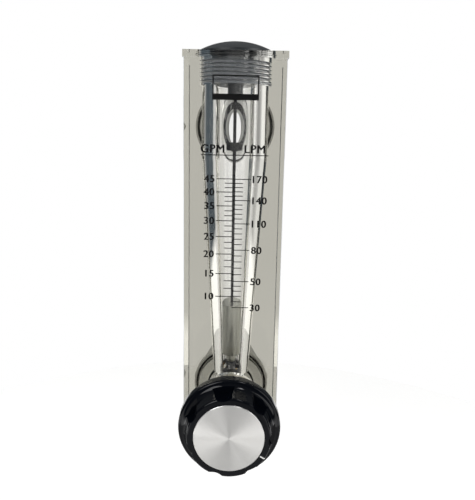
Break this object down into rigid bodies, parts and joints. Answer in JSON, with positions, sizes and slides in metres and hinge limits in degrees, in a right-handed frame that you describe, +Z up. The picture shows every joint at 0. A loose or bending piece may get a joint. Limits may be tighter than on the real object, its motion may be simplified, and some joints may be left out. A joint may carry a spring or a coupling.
{
  "type": "liquid flow meter",
  "caption": "Panel-mounted clear block flow meter: a float on a guide rod in a tapered tube, rear ports, and a skirted knob on the valve at its foot.",
  "frame": {"origin": "on the inlet's axis, in the plane where the rear connectors' collars meet the panel", "axes": "+Z up along the tube, -Y towards the knob and the scale, +Y out of the rear ports, +X to the right seen from the front"},
  "size_m": [0.0614, 0.1332, 0.2592],
  "materials": {
    "clear_acrylic": "clear cast acrylic, polished faces",
    "black_plastic": "moulded black plastic",
    "knob_black": "moulded glossy black phenolic",
    "black_rubber": "smooth moulded rubber",
    "dark_steel": "drawn, darkened",
    "stainless": "turned stainless steel",
    "nickel_plate": "nickel plated, turned",
    "brass": "turned brass",
    "spun_aluminium": "spun face, clear lacquer",
    "white_plastic": "moulded white plastic",
    "nut_plastic": "moulded pale plastic"
  },
  "bodies": {
    "meter": {"acrylic_body": "clear_acrylic", "top_plug": "black_plastic", "top_plug_o_ring": "black_rubber", "guide_rod": "dark_steel", "upper_float_stop": "black_rubber", "lower_rod_holder": "black_plastic", "valve_bonnet": "nickel_plate", "bonnet_o_ring": "black_rubber", "gland_nut": "nickel_plate", "stem_packing": "black_rubber", "inlet_connector": "white_plastic", "inlet_gasket": "black_rubber", "inlet_lock_nut": "nut_plastic", "inlet_o_ring": "black_rubber", "outlet_connector": "white_plastic", "outlet_gasket": "black_rubber", "outlet_lock_nut": "nut_plastic", "outlet_o_ring": "black_rubber"},
    "float": {"float": "stainless"},
    "disc": {"valve_disc_holder": "brass", "valve_disc": "black_rubber", "valve_disc_screw": "stainless"},
    "knob": {"valve_stem": "stainless", "knob_body": "knob_black", "knob_insert": "brass", "knob_set_screw": "dark_steel", "knob_face_disc": "spun_aluminium"}
  },
  "joints": [
    {"name": "float_rise", "type": "slide", "parent": "meter", "child": "float", "axis": [0, 0, 1], "range_m": [0, 0.0998]},
    {"name": "valve_travel", "type": "slide", "parent": "meter", "child": "disc", "axis": [0, -1, 0], "range_m": [0, 0.01]},
    {"name": "knob_turn", "type": "hinge", "parent": "disc", "child": "knob", "pos_m": [0, -0.09, 0], "axis": [0, -1, 0], "range_deg": [0, 1800]}
  ],
  "couplings": [
    {"joint": "knob_turn", "follows": "valve_travel", "rad_per_m": 3141.6}
  ]
}
